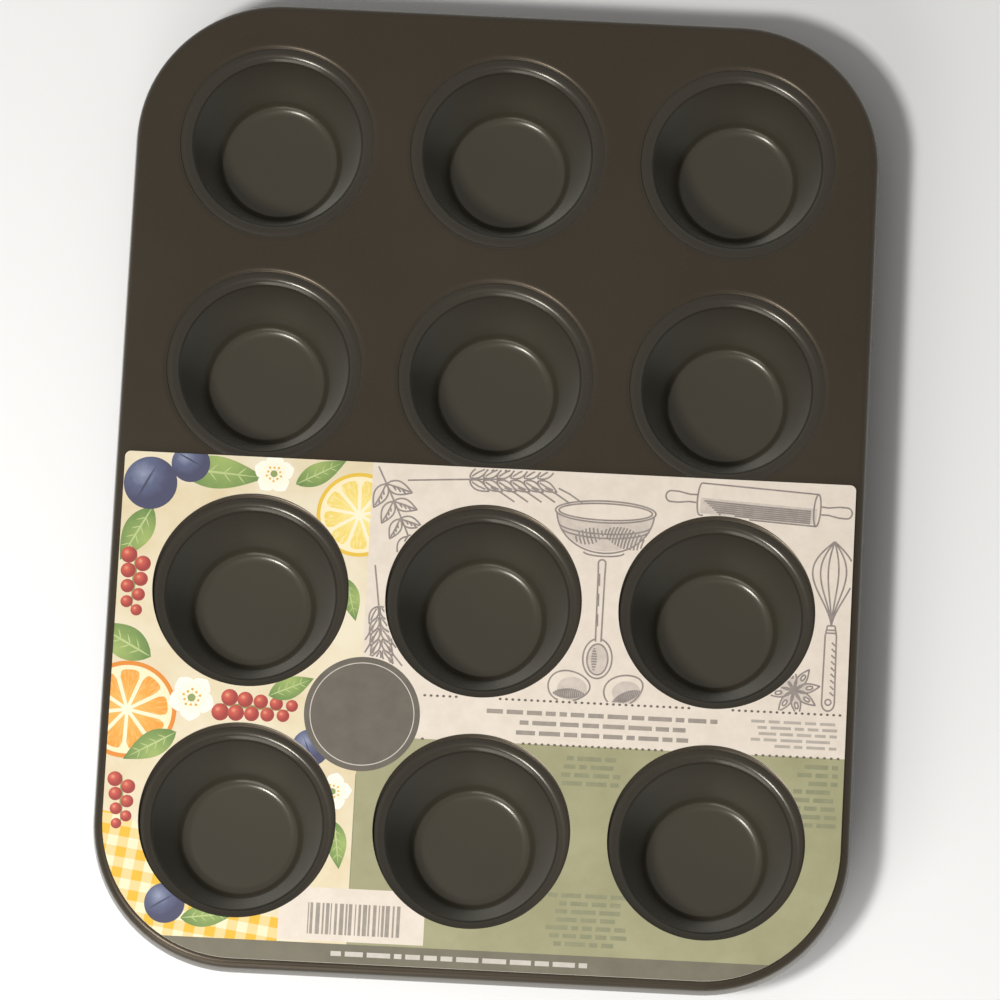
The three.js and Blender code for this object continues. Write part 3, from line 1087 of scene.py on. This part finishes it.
def sprig(length, pairs):
    """A herb sprig along x, each leaf with a midrib and fine shading."""
    strokes = [[(length * t, 0.5 * sin(3 * t)) for t in [i / 8 for i in range(9)]]]
    for i in range(pairs):
        root = (length * (0.15 + 0.75 * i / pairs), 0.2)
        size = 6.4 - 2.6 * i / pairs
        outline = lens(size, size * 0.5, steps=8)
        for side in (1, -1):
            turn = side * 0.85
            strokes.append(placed(outline + outline[:1], root, turn))
            strokes.append(placed([(0.3, 0), (size * 0.5, 0.1), (size * 0.9, 0)], root, turn))
            for k in range(3):
                start = around(root, size * (0.25 + 0.18 * k), turn)
                vein = [(0, 0), (size * 0.12, 0.03), (size * 0.2, 0)]
                strokes.append(placed(vein, start, turn - side * 0.6))
    return strokes


def star_spice(size):
    """A star of eight pods, each with its seed."""
    strokes = []
    for i in range(8):
        turn = i * TURN / 8 + 0.2
        pod = lens(size, size * 0.36, steps=8, belly=0.9)
        strokes.append(placed(pod + pod[:1], (0, 0), turn))
        strokes.append(placed(arc((size * 0.6, 0), size * 0.13, size * 0.07, 0, 360, 10), (0, 0), turn))
    return strokes


def is_clear(point, margin):
    """Whether a point of the card is clear of the holes and the badge."""
    return (all(dist(point, hole) > CARD_HOLE_RADIUS + margin for hole in CARD_HOLES)
            and dist(point, BADGE) > BADGE_RADIUS + margin)


def takes_pen(point):
    """Whether the pen may touch a point: on the white panel, above the first rule."""
    return (PICTURE_RIGHT + PEN_MARGIN < point[0] < CARD_HIGH.x - PEN_MARGIN
            and RULE_1 + PEN_RULE_MARGIN < point[1] < CARD_HIGH.y - PEN_MARGIN
            and is_clear(point, PEN_HOLE_MARGIN))


def takes_dot(point):
    return point[0] < CARD_HIGH.x - RULE_EDGE_MARGIN and is_clear(point, RULE_HOLE_MARGIN)


def runs_of(points, shows, least):
    """The unbroken runs of at least so many points that show."""
    runs = [[]]
    for point in points:
        if shows(point):
            runs[-1].append(point)
        elif runs[-1]:
            runs.append([])
    return [run for run in runs if len(run) >= least]


def fine(stroke):
    """A stroke with points at the pen's fine pitch."""
    points = []
    for start, end in zip(stroke, stroke[1:]):
        steps = max(1, ceil(dist(start, end) / PEN_PITCH))
        points += [(start[0] + (end[0] - start[0]) * k / steps, start[1] + (end[1] - start[1]) * k / steps)
                   for k in range(steps)]
    return [*points, stroke[-1]]


def add_drawings():
    """All the line drawings, as one layer of ink: strokes, place, turn in degrees and size."""
    bowl_at, bowl_width = BOWL
    pin_at, pin_length, pin_turn = PIN
    things = [
        (sprig(30, 5), (-30, 5), -66, 1.15),
        (wheat(38, 6), (-22, 1.6), 2, 1.15),
        (wheat(30, 5), (-29.5, -22), -84, 1.0),
        (mixing_bowl(bowl_width), bowl_at, 0, 1.0),
        (rolling_pin(pin_length), pin_at, pin_turn, 1.0),
        (spoon(34), SPOON_HANDLE_END, -90, 1.0),
        (whisk(46), (93.2, -55.6), 90, 1.0),
        (sprig(18, 3), (53, -54.6), -4, 0.85),
    ]
    things += [(egg(size), middle, 25 * i, 1.0) for i, (middle, size) in enumerate(EGGS)]
    things.append((star_spice(STAR[1]), STAR[0], 0, 1.0))
    lines = []
    for strokes, middle, turn, size in things:
        for stroke in strokes:
            for run in runs_of(fine(placed(stroke, middle, radians(turn), size)), takes_pen, 3):
                height = CARD_FACE - len(lines) % PEN_LEVELS * PEN_LEVEL_DROP
                lines.append([(x, y, height) for x, y in run])
    mesh = grown(pen_tree(), "card_drawings", lines, smooth=False, Width=0.46, Height=2 * INK_HEIGHT,
                 Taper=0.45, Material=INKS["line"])
    new_piece(mesh, "card", "card_stock")


def add_rules():
    """The two dotted rules, broken by the holes and the badge."""
    lines = []
    for height in (RULE_1, RULE_2):
        dots = [(RULE_START + i * RULE_PITCH, height) for i in range(RULE_DOTS)]
        for run in runs_of(dots, takes_dot, 2):
            lines.append([(x, y, CARD_FACE) for x, y in run])
    mesh = grown(dots_tree(), "card_rules", lines, smooth=False, Pitch=RULE_PITCH, Radius=0.34,
                 Height=2 * INK_HEIGHT, Stretch=1.2, Material=INKS["badge"])
    new_piece(mesh, "card", "card_stock")


def add_card():
    sheet = Print()
    draw_picture(sheet)
    draw_panels(sheet)
    for row in DASH_ROWS:
        draw_dashes(sheet, *row)
    new_piece(card_mesh(sheet), "card", "card_stock", "card_insert")
    add_drawings()
    add_rules()


# Floor, light and camera, in metres

# Lamps that face the tin: name, place, side and power
LAMPS = [
    ("key", (-0.37, -0.37, 1.07), 0.15, 8.5),
    ("softbox", (-0.33, -0.2, 1.65), 0.8, 1.2),
    ("foot_window", (-0.3, -0.72, 0.37), 0.6, 4.7),
]


def add_floor():
    """A plain pale floor that keeps the tin's soft shadow."""
    material, tree, _, shader = surface("pale_floor")
    give(tree, shader, Base_Color=tint((248, 247, 245)), Roughness=0.8)
    bm = bmesh.new()
    bmesh.ops.create_grid(bm, x_segments=1, y_segments=1, size=6.0)
    floor = linked("floor", mesh_of(bm, "floor", material))


def add_lamp(name, place, size, power):
    """A square lamp that faces the tin and isn't seen itself."""
    light = bpy.data.lights.new(name, "AREA")
    light.size, light.energy = size, power
    lamp = linked(name, light)
    lamp.location = place
    lamp.rotation_euler = (-Vector(place)).to_track_quat("-Z", "Y").to_euler()
    lamp.visible_camera = False


def add_world():
    """A dim even room that looks white to the camera and in gloss and glass."""
    world = bpy.data.worlds.new("studio")
    bpy.context.scene.world = world
    world.use_nodes = True
    tree = world.node_tree
    tree.nodes.clear()
    rays = shading(tree, "LightPath")
    seen = maths(tree, "MAXIMUM", rays["Is Camera Ray"], rays["Is Glossy Ray"])
    shown = maths(tree, "MAXIMUM", seen, rays["Is Transmission Ray"])
    room = shading(tree, "Background", {"Color": (1.0, 0.99, 0.97, 1), "Strength": 0.19})
    white = shading(tree, "Background", {"Color": (1, 1, 1, 1), "Strength": 1.0})
    both = shading(tree, "MixShader", {0: shown, 1: room[0], 2: white[0]})
    tree.links.new(both[0], tree.nodes.new("ShaderNodeOutputWorld").inputs[0])


def add_camera():
    """Nearly straight down, a little from the foot and the right, through a long lens."""
    data = bpy.data.cameras.new("camera")
    data.sensor_width = 36
    data.lens = 274.06
    data.shift_y = 0.05
    camera = linked("camera", data)
    camera.location = (0.0472, -0.424, 2.0234)
    camera.rotation_euler = [radians(angle) for angle in (11.578, 0.642, 2.96)]
    bpy.context.scene.camera = camera


add_camera()
add_deck()
add_cups()
add_wire()
add_card()
add_tacks()
add_floor()
for lamp in LAMPS:
    add_lamp(*lamp)
add_world()
bpy.context.scene.view_settings.view_transform = "Standard"
